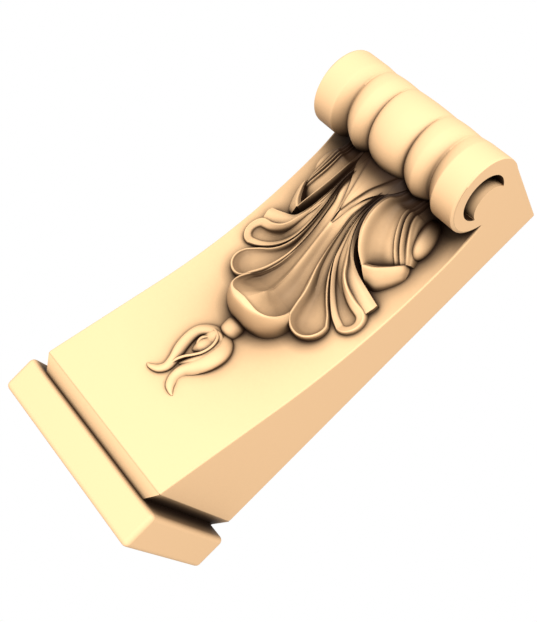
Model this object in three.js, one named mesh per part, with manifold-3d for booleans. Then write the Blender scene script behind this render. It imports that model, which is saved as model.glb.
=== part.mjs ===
// A scroll corbel: a bracket with a swept front, a turned roll across its head, a slab across
// its foot, and a shell-like leaf that spills from under the roll and ends in a bud.
// Millimetres. The wall face is the plane y = 0, the carved front looks along -Y, +Z runs from the
// slab to the roll, and the corbel is alike on both sides of x = 0. The origin is the middle of the
// wall face; heights below are counted from the slab's underside.
import * as THREE from 'three';
import Module from 'manifold-3d';

const wasm = await Module();
wasm.setup();

// Driving dimensions of the block
const HEIGHT = 300;            // slab underside to top face
const BLOCK_WIDTH = 121;
const NECK_DEPTH = 39.9;       // thinnest place, wall face to front
const NECK_HEIGHT = 234.5;     // above the slab's underside
const SCOOP_RADIUS = 343.5;    // arc of the swept front
const SPLAY = 21.5;            // degrees that the straight lower front leans out

// Slab and the tapered foot that stands on it
const SLAB_WIDTH = 135;
const SLAB_DEPTH = 92.4;
const SLAB_THICKNESS = 24.3;
const SLAB_EDGE = 3;           // rounding of the slab's edges
const FOOT_HEIGHT = 9;         // the block tapers in over this height above the slab
const FOOT_TAPER = 7.2;        // on each side
const FOOT_SETBACK = 4.2;      // at the front, behind the block's lower front edge

// Roll across the head
const ROLL_RADIUS = 25.3;
const ROLL_OVERHANG = 67.2;    // wall face to the roll's axis
const BARREL_RADIUS = 24.8;
const TORUS_RADIUS = 24.5;
const OUTER_GROOVE_RADIUS = 20;
const INNER_GROOVE_RADIUS = 20.2;
const BAND_EDGE = 43.4;        // middle of the roll to the inner edge of an end band
const OUTER_GROOVE = 35.4;
const TORUS_CREST = 25.4;
const INNER_GROOVE = 15.2;
const NOTCH_BELOW = 9.7;       // the notch behind the roll ends this far below the roll's axis
const TOP_RADIUS = 24.7;       // the block over the roll, where the grooves have faded out
const GROOVE_END = 32;         // degrees from the top at which the grooves begin to fade
// Fullness of the roll's slopes: 2 is a quarter round, and 1 is a straight line
const BARREL_FULLNESS = 1.9;
const TORUS_FULLNESS = 1.5;
const BAND_FULLNESS = 1.15;

// Crescent eye in each end of the roll
const EYE_RADIUS = 15.4;
const EYE_DEPTH = 13;
const DISC_RADIUS = 12.3;
const DISC_BACK = 10.9;        // the disc's centre lies this far behind the roll's axis
const DISC_RISE = 1;

// Leaf and bud: their length from the roll's underside to the bud's tips. The carving's points are
// given in thousandths of that length, so that the whole carving follows it.
const LEAF_LENGTH = 179;
const SINK = 6;                // the carving's hidden under-face lies this far inside the block

// Fineness of the round parts
const ROLL_SIDES = 36;
const EYE_SIDES = 24;
const ARC_STEPS = 20;
const FADE_STEPS = 6;
const BEAD_SIDES = 12;
const BEAD_RINGS = 8;

const HALF = BLOCK_WIDTH / 2;
const ROLL_Z = HEIGHT - ROLL_RADIUS;
const NOTCH_HEIGHT = ROLL_Z - NOTCH_BELOW;
const BLOCK_FOOT = SLAB_THICKNESS + FOOT_HEIGHT;
const SHARE = LEAF_LENGTH / 1000;
const RAD = Math.PI / 180;

// The straight lower front meets the arc where the arc's slope is the splay
const ARC_START = NECK_HEIGHT - SCOOP_RADIUS * Math.sin(SPLAY * RAD);
const ARC_START_DEPTH = NECK_DEPTH + SCOOP_RADIUS * (1 - Math.cos(SPLAY * RAD));

// Depth of the front, wall face to front face, at a height
function frontDepth(z) {
  if (z < ARC_START) return ARC_START_DEPTH + (ARC_START - z) * Math.tan(SPLAY * RAD);
  return NECK_DEPTH + SCOOP_RADIUS - Math.sqrt(SCOOP_RADIUS ** 2 - (z - NECK_HEIGHT) ** 2);
}

// Solids

// Shared corners are merged and triangles with no area are dropped, so that the mesh is closed
function solid(positions, triangles) {
  const index = new Map();
  const corners = [];
  const place = positions.map(([x, y, z]) => {
    const key = [x, y, z].map((v) => Math.round(v * 1e4)).join();
    if (!index.has(key)) {
      index.set(key, corners.length / 3);
      corners.push(x, y, z);
    }
    return index.get(key);
  });
  const faces = [];
  for (const [a, b, c] of triangles) {
    const [i, j, k] = [place[a], place[b], place[c]];
    if (i !== j && j !== k && k !== i) faces.push(i, j, k);
  }
  return new wasm.Manifold(new wasm.Mesh({
    numProp: 3,
    vertProperties: new Float32Array(corners),
    triVerts: new Uint32Array(faces),
  }));
}

// A three.js geometry as a solid
function fromGeometry(geometry) {
  const flat = geometry.index ? geometry.toNonIndexed() : geometry;
  const p = flat.attributes.position;
  const positions = [];
  const triangles = [];
  for (let i = 0; i < p.count; i++) positions.push([p.getX(i), p.getY(i), p.getZ(i)]);
  for (let i = 0; i < p.count; i += 3) triangles.push([i, i + 1, i + 2]);
  return solid(positions, triangles);
}

const unite = (solids) => solids.reduce((a, b) => a.add(b));

// A solid and its mirror image across x = 0
const bothSides = (s) => s.add(s.mirror([1, 0, 0]));

// Height of a carving point above the slab's underside, from its share below the roll's underside
const leafHeight = (down) => ROLL_Z - ROLL_RADIUS - down * SHARE;

// A carving point (across, proud of the front, below the roll, in thousandths of the leaf) in its place
const onFront = ([across, proud, down]) => [
  across * SHARE, -(frontDepth(leafHeight(down)) + proud * SHARE), leafHeight(down),
];

// The point of the hidden under-face behind a carving point
const underFront = ([across, , down]) => [
  across * SHARE, SINK - frontDepth(leafHeight(down)), leafHeight(down),
];

// The feet of the carving's outer sides, just above the under-face
const FEET = (-0.8 * SINK) / SHARE;

// A bead of the carving by its half sizes, its top leaning to -X by some degrees
function egg([width, depth, height], at, lean = 0) {
  const shape = new THREE.SphereGeometry(SHARE, BEAD_SIDES, BEAD_RINGS);
  shape.scale(width, depth, height);
  shape.rotateY(-lean * RAD);
  shape.translate(...onFront(at));
  return fromGeometry(shape);
}

// A closed solid under a grid of carving points, down to an under-face inside the block.
// folded: the last column runs down and back up one line, as the middle of a petal does.
function carved(grid, folded = false) {
  const rows = grid.length;
  const cols = grid[0].length;
  const top = grid.flat().map(onFront);
  const under = grid.flat().map(underFront);
  const n = rows * cols;
  const triangles = [];
  const quad = (a, b, c, d) => triangles.push([a, b, c], [a, c, d]);
  for (let i = 0; i < rows - 1; i++) {
    for (let j = 0; j < cols - 1; j++) {
      const [a, b, c, d] = [i * cols + j, i * cols + j + 1, (i + 1) * cols + j + 1, (i + 1) * cols + j];
      quad(a, b, c, d);
      quad(n + d, n + c, n + b, n + a);
    }
    const [a, d] = [i * cols, (i + 1) * cols];
    quad(a, d, n + d, n + a);
    if (!folded) quad(n + a + cols - 1, n + d + cols - 1, d + cols - 1, a + cols - 1);
  }
  for (let j = 0; j < cols - 1; j++) {
    const last = (rows - 1) * cols;
    quad(n + j, n + j + 1, j + 1, j);
    quad(last + j, last + j + 1, n + last + j + 1, n + last + j);
  }
  const made = solid([...top, ...under], triangles);
  return made.volume() < 0 ? solid([...top, ...under], triangles.map(([a, b, c]) => [a, c, b])) : made;
}

// A smooth line through carving points, sampled evenly from its first to its last point
function line(points, steps) {
  const curve = new THREE.CatmullRomCurve3(points.map((p) => new THREE.Vector3(...p)), false, 'catmullrom');
  return Array.from({ length: steps + 1 }, (_, i) => curve.getPoint(i / steps).toArray());
}

// Values read along a smooth line through numbers
const values = (numbers, steps) => line(numbers.map((v) => [v, 0, 0]), steps).map(([v]) => v);

// A grid whose columns are guide lines of as many points each
function skin(guides, steps) {
  const lines = guides.map((g) => line(g, steps));
  return Array.from({ length: steps + 1 }, (_, i) => lines.map((l) => l[i]));
}

const mix = (a, b, t) => a.map((v, k) => v + (b[k] - v) * t);

// Block

// The side outline: the swept front up to the notch, then over the roll, where the block swells
// forward so that the grooves fade before the flat top
function makeBlock() {
  const side = new THREE.Shape();
  side.moveTo(0, BLOCK_FOOT);
  side.lineTo(-frontDepth(BLOCK_FOOT), BLOCK_FOOT);
  for (let i = 0; i <= ARC_STEPS; i++) {
    const z = ARC_START + ((NOTCH_HEIGHT - ARC_START) * i) / ARC_STEPS;
    side.lineTo(-frontDepth(z), z);
  }
  side.lineTo(-ROLL_OVERHANG, NOTCH_HEIGHT);
  for (let i = 0; i <= FADE_STEPS; i++) {
    const turn = GROOVE_END * RAD * (1 - i / FADE_STEPS);
    const fade = Math.cos((i / FADE_STEPS) * Math.PI / 2) ** 2;
    const radius = TOP_RADIUS + (OUTER_GROOVE_RADIUS - TOP_RADIUS) * fade;
    side.lineTo(-ROLL_OVERHANG - radius * Math.sin(turn), ROLL_Z + radius * Math.cos(turn));
  }
  side.lineTo(-ROLL_OVERHANG, HEIGHT);
  side.lineTo(0, HEIGHT);
  side.closePath();
  const block = new THREE.ExtrudeGeometry(side, { depth: BLOCK_WIDTH, bevelEnabled: false });
  // The side outline is drawn in x and y, then turned so that it lies in y and z
  const turn = new THREE.Matrix4().makeBasis(
    new THREE.Vector3(0, 1, 0), new THREE.Vector3(0, 0, 1), new THREE.Vector3(1, 0, 0));
  block.applyMatrix4(turn);
  block.translate(-HALF, 0, 0);
  return fromGeometry(block);
}

// The foot tapers from the block's lower edge to the slab, at the sides and the front
function makeFoot() {
  const ring = (half, depth, z) => [[half, 0, z], [half, -depth, z], [-half, -depth, z], [-half, 0, z]];
  const lower = frontDepth(BLOCK_FOOT);
  const upper = ring(HALF, lower, BLOCK_FOOT);
  const neck = ring(HALF - FOOT_TAPER, lower - FOOT_SETBACK, SLAB_THICKNESS);
  const buried = ring(HALF - FOOT_TAPER, lower - FOOT_SETBACK, SLAB_THICKNESS / 2);
  const positions = [...buried, ...neck, ...upper];
  const triangles = [[0, 1, 2], [0, 2, 3], [8, 10, 9], [8, 11, 10]];
  for (const level of [0, 4]) {
    for (let i = 0; i < 4; i++) {
      const [a, b] = [level + i, level + ((i + 1) % 4)];
      triangles.push([a, b + 4, b], [a, a + 4, b + 4]);
    }
  }
  return solid(positions, triangles);
}

function makeSlab() {
  const half = SLAB_WIDTH / 2 - SLAB_EDGE;
  const plan = new THREE.Shape();
  plan.moveTo(-half, -SLAB_EDGE);
  plan.lineTo(-half, -SLAB_DEPTH + SLAB_EDGE);
  plan.lineTo(half, -SLAB_DEPTH + SLAB_EDGE);
  plan.lineTo(half, -SLAB_EDGE);
  plan.closePath();
  const slab = new THREE.ExtrudeGeometry(plan, {
    depth: SLAB_THICKNESS - 2 * SLAB_EDGE,
    bevelThickness: SLAB_EDGE,
    bevelSize: SLAB_EDGE,
    bevelSegments: 3,
  });
  slab.translate(0, 0, SLAB_EDGE);
  return fromGeometry(slab);
}

// Roll

// A rounded slope from a groove up to a crest, as [distance from the middle, radius], without the
// groove itself
function slope([x0, r0], [x1, r1], steps, fullness) {
  return Array.from({ length: steps }, (_, i) => {
    const a = ((i + 1) / steps) * Math.PI / 2;
    return [
      x0 + (x1 - x0) * (1 - Math.cos(a) ** (2 / fullness)), r0 + (r1 - r0) * Math.sin(a) ** (2 / fullness),
    ];
  });
}

// Half of the roll's outline, from the middle outwards: barrel, torus and end band
function rollOutline() {
  const inner = [INNER_GROOVE, INNER_GROOVE_RADIUS];
  const crest = [TORUS_CREST, TORUS_RADIUS];
  const outer = [OUTER_GROOVE, OUTER_GROOVE_RADIUS];
  return [
    ...slope(inner, [0, BARREL_RADIUS], 5, BARREL_FULLNESS).reverse(),
    inner,
    ...slope(inner, crest, 4, TORUS_FULLNESS),
    ...slope(outer, crest, 4, TORUS_FULLNESS).slice(0, -1).reverse(),
    outer,
    ...slope(outer, [BAND_EDGE, ROLL_RADIUS], 3, BAND_FULLNESS),
    [HALF, ROLL_RADIUS],
  ];
}

function makeRoll() {
  const half = rollOutline();
  const whole = [...half.slice(1).reverse().map(([x, r]) => [-x, r]), ...half];
  const outline = [[-HALF, 0], ...whole, [HALF, 0]].map(([x, r]) => new THREE.Vector2(r, x));
  const roll = new THREE.LatheGeometry(outline, ROLL_SIDES);
  roll.rotateZ(-Math.PI / 2);
  roll.translate(0, -ROLL_OVERHANG, ROLL_Z);
  return fromGeometry(roll);
}

// The hollow round a disc in the roll's end, left as a crescent
function makeEye() {
  const drum = (radius, depth, y, z) => {
    const cylinder = new THREE.CylinderGeometry(radius, radius, depth, EYE_SIDES);
    cylinder.rotateZ(Math.PI / 2);
    cylinder.translate(HALF, y, z);
    return fromGeometry(cylinder);
  };
  const hollow = drum(EYE_RADIUS, 2 * EYE_DEPTH, -ROLL_OVERHANG, ROLL_Z - DISC_RISE);
  const disc = drum(DISC_RADIUS, 3 * EYE_DEPTH, -ROLL_OVERHANG + DISC_BACK, ROLL_Z + DISC_RISE);
  return hollow.subtract(disc);
}

// Leaf. Its root runs on behind the roll and fills the notch there.

// Ridges of the leaf on the +X half, from under the roll to the petal ends
const MIDDLE_RIDGE = [
  [68, 123, -3], [65, 153, 64], [61, 162, 111], [55, 159, 142], [46, 149, 182], [45, 130, 237], [46, 106, 298],
  [55, 83, 362], [68, 63, 413], [83, 50, 459], [95, 50, 499], [113, 55, 543],
];
const INNER_RIDGE = [
  [72, 121, -3], [69, 151, 64], [66, 158, 111], [63, 153, 147], [60, 136, 203], [67, 109, 265], [78, 85, 315],
  [95, 60, 360], [120, 39, 399], [151, 25, 432], [187, 20, 461], [216, 20, 491],
];
const LOWER_RIDGE = [
  [75, 121, -3], [72, 151, 64], [70, 158, 111], [67, 155, 153], [67, 140, 203], [75, 114, 259], [85, 92, 306],
  [104, 65, 349], [131, 41, 388], [164, 25, 422], [203, 16, 451], [243, 11, 468],
];
const UPPER_RIDGE = [
  [83, 121, -3], [78, 152, 64], [76, 159, 111], [77, 156, 159], [88, 143, 209], [105, 123, 251],
  [125, 103, 291], [143, 86, 324], [165, 70, 346], [192, 56, 361], [222, 40, 370], [254, 28, 373],
];

// A petal is a gouged flute between two ridges, left and right, closed by a round end that reach
// stretches. Each ridge has its rim width. The floor lies by its depths, from root to end, below the
// lower of the ridges, and runs out at a share floor of the way across.
// A larger bank makes the slope inside the rims wider.
function petal({ left, right, rims, depths, floor, reach, endHeight, bank, steps, around }) {
  const [l, r] = [line(left, steps), line(right, steps)];
  const drop = values(depths, steps);
  const [le, re] = [l[steps], r[steps]];
  const centre = mix(le, re, 0.5);
  // Unit direction, in plan, in which the round end points
  const across = new THREE.Vector2(re[0] - le[0], re[2] - le[2]);
  const radius = across.length() / 2;
  across.normalize();
  const ahead = new THREE.Vector2(across.y, -across.x);
  const travel = new THREE.Vector2(le[0] - l[steps - 1][0], le[2] - l[steps - 1][2]);
  if (ahead.dot(travel) < 0) ahead.negate();
  const spines = l.map((crest, i) => {
    const [x, , z] = mix(crest, r[i], 0.5 + ((floor - 0.5) * i) / steps);
    return [x, Math.min(crest[1], r[i][1]) - drop[i], z];
  });
  const stations = l.map((crest, i) => ({ crest, spine: spines[i], rim: rims[0] }));
  for (let i = 1; i < around; i++) {
    const a = (i / around) * Math.PI;
    const [c, s, side] = [Math.cos(a), Math.sin(a), (1 - Math.cos(a)) / 2];
    const level = le[1] + (re[1] - le[1]) * side;
    const crest = [
      centre[0] - across.x * radius * c + ahead.x * radius * reach * s,
      level + (endHeight - level) * s,
      centre[2] - across.y * radius * c + ahead.y * radius * reach * s,
    ];
    stations.push({ crest, spine: spines[steps], rim: rims[0] + (rims[1] - rims[0]) * side });
  }
  for (let i = steps; i >= 0; i--) stations.push({ crest: r[i], spine: spines[i], rim: rims[1] });
  // Across a station: up the outer side, over the rim, down the gouge's wall and out to the floor
  return carved(stations.map(({ crest, spine, rim }) => {
    const out = [crest[0] - spine[0], crest[2] - spine[2]];
    const wide = Math.hypot(...out);
    const width = Math.min(rim, wide * 0.42);
    const [top, fall] = [crest[1], crest[1] - spine[1]];
    const bankEnd = Math.min(0.6 * bank, (wide / width) * 0.62);
    const inner = wide / width - bankEnd;
    const at = (k, proud) => [
      crest[0] + (out[0] / wide) * k * width, proud, crest[2] + (out[1] / wide) * k * width,
    ];
    return [
      at(0.85, FEET),
      at(0.55, Math.min(top - width * 0.6, top * 0.8)),
      at(0.18, top),
      at(-0.22, top - width * 0.06),
      at(-bankEnd, top - fall * 0.3),
      at(-bankEnd - inner * 0.35, top - fall * 0.84),
      spine,
    ];
  }), true);
}

// The band stands between the side lobe and the outer petal and runs out to the block's side
function makePetals() {
  const outer = petal({
    left: UPPER_RIDGE, right: LOWER_RIDGE, rims: [26, 19], depths: [1, 2, 7, 15, 13, 11], floor: 0.56,
    reach: 0.82, endHeight: 18, bank: 1.7, steps: 9, around: 8,
  });
  const inner = petal({
    left: INNER_RIDGE, right: MIDDLE_RIDGE, rims: [11, 12], depths: [1, 2, 7, 15, 16, 17], floor: 0.55,
    reach: 1, endHeight: 34, bank: 1, steps: 9, around: 7,
  });
  const band = carved(skin([
    [[92, -11, -100], [85, -11, 53], [85, -11, 120], [93, -11, 175], [111, -11, 227], [140, -11, 272],
      [175, -11, 293], [229, -11, 308], [283, -11, 322]],
    [[88, 115, -100], [83, 146, 53], [83, 153, 120], [89, 142, 175], [108, 123, 229], [136, 93, 273],
      [173, 58, 296], [229, 35, 313], [280, 20, 326]],
    [[82, 120, -100], [79, 150, 53], [78, 156, 120], [83, 149, 175], [97, 133, 227], [122, 105, 270],
      [156, 69, 303], [218, 40, 331], [281, 23, 345]],
    [[78, 118, -100], [76, 149, 53], [75, 154, 120], [76, 145, 175], [83, 134, 220], [101, 113, 261],
      [133, 78, 313], [201, 39, 355], [275, 19, 371]],
    [[73, -11, -100], [73, -11, 53], [72, -11, 120], [73, -11, 175], [76, -11, 222], [94, -11, 268],
      [128, -11, 324], [196, -11, 369], [270, -11, 385]],
  ], 12));
  return [outer, inner, band, makeBlade()];
}

// The wood between the ridges: close under them at the root, sinking away to their ends
function makeBlade() {
  const sink = [2, 2, 2, 3, 4, 6, 10, 17, 25, 34, 39, 45];
  const ridges = [MIDDLE_RIDGE, INNER_RIDGE, LOWER_RIDGE, UPPER_RIDGE].map(
    (ridge) => ridge.map(([x, h, z], i) => [x, h - sink[i], z]));
  const foot = (ridge) => ridge.map(([x, , z]) => [x, 0, z]);
  return carved(skin([foot(ridges[0]), ...ridges, foot(ridges[3])], 12));
}

// The middle lobe hangs to a lip that curls out from the block. Its guides run from its outer side
// over the crest into the gouge and up to the rib.
function makeMiddleLobe() {
  return carved(skin([
    [[75, -11, -3], [67, -11, 114], [53, -11, 187], [54, -11, 276], [67, -11, 388], [87, -11, 460],
      [114, -11, 516], [135, -11, 555], [137, -11, 594], [125, -11, 637], [95, -11, 670], [45, -11, 686],
      [0, -11, 689]],
    [[73, 95, -3], [65, 134, 114], [49, 123, 187], [49, 89, 276], [63, 45, 388], [83, 22, 460], [108, 22, 516],
      [128, 36, 555], [128, 45, 590], [112, 50, 628], [82, 49, 658], [41, 47, 675], [0, 47, 678]],
    [[71, 116, -3], [63, 154, 114], [46, 142, 187], [45, 109, 276], [58, 67, 388], [77, 42, 460],
      [101, 41, 516], [116, 57, 551], [113, 76, 584], [96, 95, 609], [67, 108, 626], [34, 118, 634],
      [0, 122, 635]],
    [[66, 120, -3], [58, 158, 114], [41, 145, 187], [40, 112, 276], [53, 67, 388], [72, 42, 460],
      [93, 39, 516], [107, 56, 549], [106, 80, 581], [89, 102, 602], [63, 116, 612], [31, 126, 610],
      [0, 131, 608]],
    [[58, 120, -3], [48, 159, 114], [33, 146, 187], [32, 108, 276], [42, 60, 388], [60, 31, 460],
      [78, 21, 516], [88, 26, 543], [85, 39, 568], [70, 58, 581], [49, 77, 588], [25, 97, 590], [0, 108, 589]],
    [[48, 112, -3], [35, 153, 114], [19, 147, 187], [18, 112, 276], [22, 65, 388], [30, 35, 460],
      [37, 25, 516], [39, 27, 536], [37, 37, 550], [30, 50, 558], [21, 65, 561], [11, 77, 562], [0, 85, 561]],
    [[25, 106, -3], [16, 137, 114], [7, 145, 187], [6, 124, 276], [7, 83, 388], [8, 57, 460], [8, 49, 516],
      [8, 51, 530], [7, 57, 539], [6, 64, 544], [4, 70, 547], [2, 75, 550], [0, 78, 551]],
    [[0, 101, -3], [0, 132, 114], [0, 142, 187], [0, 128, 276], [0, 88, 388], [0, 66, 460], [0, 59, 516],
      [0, 61, 527], [0, 64, 535], [0, 69, 541], [0, 73, 545], [0, 77, 549], [0, 79, 550]],
  ], 26));
}

// A pointed tip of a second leaf lies over the middle lobe's root
function makeTip() {
  return carved(skin([
    [[0, 134, -100], [0, 159, 19], [0, 165, 69], [0, 166, 108], [0, 164, 147], [0, 160, 181]],
    [[45, 128, -100], [25, 156, 19], [15, 164, 69], [9, 165, 108], [4, 164, 147], [1, 159, 182]],
    [[89, 119, -100], [47, 154, 19], [28, 165, 69], [17, 166, 108], [8, 164, 147], [2, 159, 183]],
    [[93, 120, -100], [50, 155, 19], [31, 166, 69], [19, 168, 108], [10, 166, 149], [2, 161, 185]],
    [[94, 113, -100], [53, 148, 19], [33, 160, 69], [21, 161, 108], [12, 160, 151], [3, 155, 189]],
    [[108, 106, -100], [69, 146, 19], [45, 159, 69], [29, 161, 108], [16, 158, 155], [3, 151, 203]],
    [[123, 93, -100], [87, 140, 19], [60, 157, 69], [39, 160, 108], [21, 152, 162], [4, 140, 234]],
    [[126, 56, -100], [92, 101, 19], [64, 117, 69], [41, 123, 108], [22, 123, 164], [4, 112, 239]],
  ], 8));
}

// A side lobe rolls over into a cup: its dish is crossed by two ribs, its lip folds outwards, and a
// bead sits behind the ribs
function makeSideLobe() {
  const dish = carved(skin([
    [[123, -17, -100], [98, -17, 13], [86, -17, 58], [84, -17, 103], [88, -17, 147], [105, -17, 203],
      [132, -17, 245], [160, -17, 276]],
    [[126, 78, -100], [106, 112, 13], [94, 145, 55], [91, 159, 97], [95, 159, 144], [109, 145, 196],
      [136, 115, 240], [165, 76, 270]],
    [[131, 95, -100], [113, 128, 13], [99, 159, 53], [96, 171, 94], [99, 172, 140], [114, 160, 190],
      [140, 130, 237], [169, 89, 266]],
    [[137, 93, -100], [121, 125, 13], [107, 153, 51], [104, 163, 92], [108, 163, 136], [123, 150, 185],
      [146, 120, 230], [173, 82, 259]],
    [[145, 80, -100], [131, 109, 13], [118, 132, 50], [117, 136, 89], [122, 132, 132], [135, 117, 179],
      [156, 89, 220], [179, 59, 247]],
    [[156, 75, -100], [145, 104, 13], [136, 123, 49], [136, 122, 86], [143, 112, 126], [156, 94, 170],
      [174, 67, 206], [193, 42, 231]],
    [[164, 75, -100], [156, 104, 13], [152, 124, 47], [153, 121, 80], [163, 108, 120], [179, 91, 156],
      [198, 66, 188], [216, 42, 211]],
    [[170, 76, -100], [164, 106, 13], [161, 126, 44], [164, 124, 75], [175, 108, 113], [192, 89, 147],
      [211, 65, 177], [228, 41, 197]],
    [[174, 82, -100], [168, 113, 13], [165, 134, 42], [168, 132, 73], [180, 116, 110], [198, 97, 144],
      [217, 73, 172], [233, 48, 191]],
    [[182, 76, -100], [178, 108, 12], [177, 126, 41], [180, 123, 70], [193, 107, 107], [209, 87, 139],
      [227, 65, 165], [241, 41, 184]],
    [[185, 80, -100], [182, 112, 12], [181, 130, 40], [185, 127, 69], [198, 110, 104], [215, 90, 136],
      [232, 68, 161], [245, 44, 180]],
    [[194, 74, -100], [193, 106, 11], [193, 122, 38], [198, 118, 66], [211, 99, 101], [226, 79, 130],
      [241, 58, 153], [251, 37, 172]],
    [[201, 75, -100], [202, 106, 10], [203, 121, 36], [208, 115, 63], [221, 95, 96], [235, 75, 123],
      [247, 54, 145], [256, 34, 164]],
    [[208, 70, -100], [210, 101, 9], [212, 114, 35], [218, 107, 61], [231, 87, 93], [242, 67, 118],
      [253, 47, 140], [260, 29, 160]],
    [[215, 58, -100], [217, 86, 9], [220, 98, 34], [226, 92, 59], [238, 72, 92], [248, 54, 115], [258, 36, 136],
      [264, 22, 155]],
    [[218, -17, -100], [221, -17, 9], [225, -17, 34], [230, -17, 58], [242, -17, 89], [253, -17, 112],
      [263, -17, 133], [268, -17, 152]],
  ], 12));
  const fold = carved(skin([
    [[151, 0, 242], [184, 0, 231], [212, 0, 203], [237, 0, 164], [246, -6, 153]],
    [[161, 86, 258], [193, 70, 238], [225, 57, 206], [249, 42, 172], [255, 11, 161]],
    [[170, 89, 268], [200, 77, 248], [228, 64, 215], [253, 46, 179], [261, 13, 165]],
    [[180, 70, 282], [210, 61, 263], [237, 53, 227], [259, 39, 190], [268, 11, 175]],
    [[191, 47, 294], [220, 41, 277], [246, 36, 239], [264, 27, 203], [272, 8, 187]],
    [[198, 20, 304], [227, 19, 292], [253, 17, 251], [268, 12, 216], [274, 2, 198]],
    [[200, -11, 309], [230, -11, 299], [256, -11, 258], [272, -11, 221], [276, -11, 201]],
  ], 7));
  return [dish, fold, egg([33, 52, 76], [233, 26, 61], 14)];
}

// Bud

// A half-round ribbon whose width follows its route of [across, proud, down, half width]
function ribbon(route, steps, sides, rise = 0.8) {
  const centre = line(route.map(([x, h, z]) => [x, h, z]), steps);
  const widths = values(route.map(([, , , w]) => w), steps);
  return carved(centre.map(([x, h, z], i) => {
    const [before, after] = [centre[Math.max(0, i - 1)], centre[Math.min(steps, i + 1)]];
    const along = Math.hypot(after[0] - before[0], after[2] - before[2]);
    const [nx, nz] = [(after[2] - before[2]) / along, -(after[0] - before[0]) / along];
    return Array.from({ length: sides + 1 }, (_, j) => {
      const a = (j / sides) * Math.PI;
      const side = -Math.cos(a) * widths[i];
      const top = j % sides === 0 ? FEET / 4 : h + Math.sin(a) * widths[i] * rise;
      return [x + nx * side, top, z + nz * side];
    });
  }));
}

// A pearl, two lobes with curling tips, and a tendril that coils round a small disc
function makeBud() {
  const left = ribbon([
    [11, 2, 760, 19], [-34, 3, 763, 22], [-64, 3, 793, 23], [-67, 3, 829, 23], [-54, 2, 872, 23],
    [-34, 2, 913, 20], [-25, 1, 946, 18], [-37, 0, 972, 16], [-64, 0, 987, 9], [-79, 0, 988, 2],
  ], 18, 6, 0.72);
  const right = ribbon([
    [-6, 2, 761, 20], [34, 4, 768, 27], [54, 6, 799, 34], [52, 4, 840, 34], [36, 2, 882, 30], [20, 0, 918, 25],
    [21, -2, 952, 19], [39, -1, 978, 16], [63, 0, 991, 8], [77, 0, 994, 2],
  ], 18, 6, 0.62);
  const curl = ribbon([
    [-54, 9, 764, 3], [-28, 17, 756, 5], [0, 21, 763, 6], [17, 23, 784, 6], [22, 23, 809, 6], [19, 22, 835, 6],
    [7, 20, 859, 6], [-10, 17, 885, 6], [-20, 13, 911, 6], [-21, 8, 937, 3],
  ], 16, 3);
  const disc = ribbon([
    [12, 2, 765, 8], [8, 3, 782, 20], [-3, 4, 807, 28], [-12, 4, 829, 25], [-19, 3, 846, 13], [-22, 2, 854, 6],
  ], 9, 6, 0.55);
  const hook = ribbon([
    [-15, 12, 792, 3], [-28, 13, 802, 6], [-39, 11, 820, 7], [-32, 10, 838, 7], [-16, 11, 848, 6],
    [6, 12, 846, 4],
  ], 10, 3);
  return [egg([39, 34, 37], [0, 3, 708]), left, right, curl, disc, hook];
}

// Corbel

const eye = makeEye();
const body = unite([makeBlock(), makeFoot(), makeSlab(), makeRoll()]).subtract(bothSides(eye));
const halves = [...makePetals(), makeMiddleLobe(), makeTip(), ...makeSideLobe()];
const corbel = unite([body, ...halves.map(bothSides), ...makeBud()]);

function meshOf(name, made, material) {
  const { vertProperties, triVerts, numProp } = made.getMesh();
  const geometry = new THREE.BufferGeometry();
  const corners = new Float32Array((vertProperties.length / numProp) * 3);
  for (let i = 0; i < corners.length / 3; i++) {
    for (let k = 0; k < 3; k++) corners[i * 3 + k] = vertProperties[i * numProp + k];
  }
  geometry.setAttribute('position', new THREE.BufferAttribute(corners, 3));
  geometry.setIndex(new THREE.BufferAttribute(new Uint32Array(triVerts), 1));
  geometry.computeVertexNormals();
  const mesh = new THREE.Mesh(geometry, material);
  mesh.name = name;
  mesh.position.z = -HEIGHT / 2;
  return mesh;
}

const cream = new THREE.MeshStandardMaterial({ color: 0xf6dfb0, roughness: 0.7, metalness: 0 });
const group = new THREE.Group();
group.name = 'scroll_corbel';
group.add(meshOf('corbel', corbel, cream));

export default group;
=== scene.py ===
# %% [markdown]
# Scroll corbel
# A corbel is a bracket: its flat back stands against a wall and its top carries a shelf.
# This one has a swept front, a turned scroll roll across its head, a slab across its foot, and a
# shell-like leaf that spills from under the roll and hangs a bud. It is carved as one piece.
# The script loads the measured solid as a frame, carves a finer surface in the same place, and
# sets the finish, the light and the camera of a studio picture.

# %%
# Load the frame
import math

import bmesh
import bpy
import numpy as np
from mathutils import Matrix, Vector


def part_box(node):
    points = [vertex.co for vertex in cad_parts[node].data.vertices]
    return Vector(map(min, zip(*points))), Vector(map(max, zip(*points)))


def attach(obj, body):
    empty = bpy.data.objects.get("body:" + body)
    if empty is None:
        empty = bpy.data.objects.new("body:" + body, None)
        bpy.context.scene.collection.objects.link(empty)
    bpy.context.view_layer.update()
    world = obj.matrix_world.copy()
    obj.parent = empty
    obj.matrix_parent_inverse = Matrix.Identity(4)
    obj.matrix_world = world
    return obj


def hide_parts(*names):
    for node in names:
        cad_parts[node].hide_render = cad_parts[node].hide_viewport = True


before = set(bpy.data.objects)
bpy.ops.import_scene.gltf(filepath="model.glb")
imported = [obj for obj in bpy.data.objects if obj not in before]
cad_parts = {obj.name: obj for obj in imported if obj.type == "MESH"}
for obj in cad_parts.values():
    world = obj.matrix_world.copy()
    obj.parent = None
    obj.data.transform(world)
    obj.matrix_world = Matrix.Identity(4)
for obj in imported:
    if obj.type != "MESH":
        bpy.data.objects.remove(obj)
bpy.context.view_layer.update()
CAD_LOW, CAD_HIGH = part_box("corbel")
MM = 0.001
print("frame box in mm:", [round((CAD_HIGH[i] - CAD_LOW[i]) / MM, 1) for i in range(3)])

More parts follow.
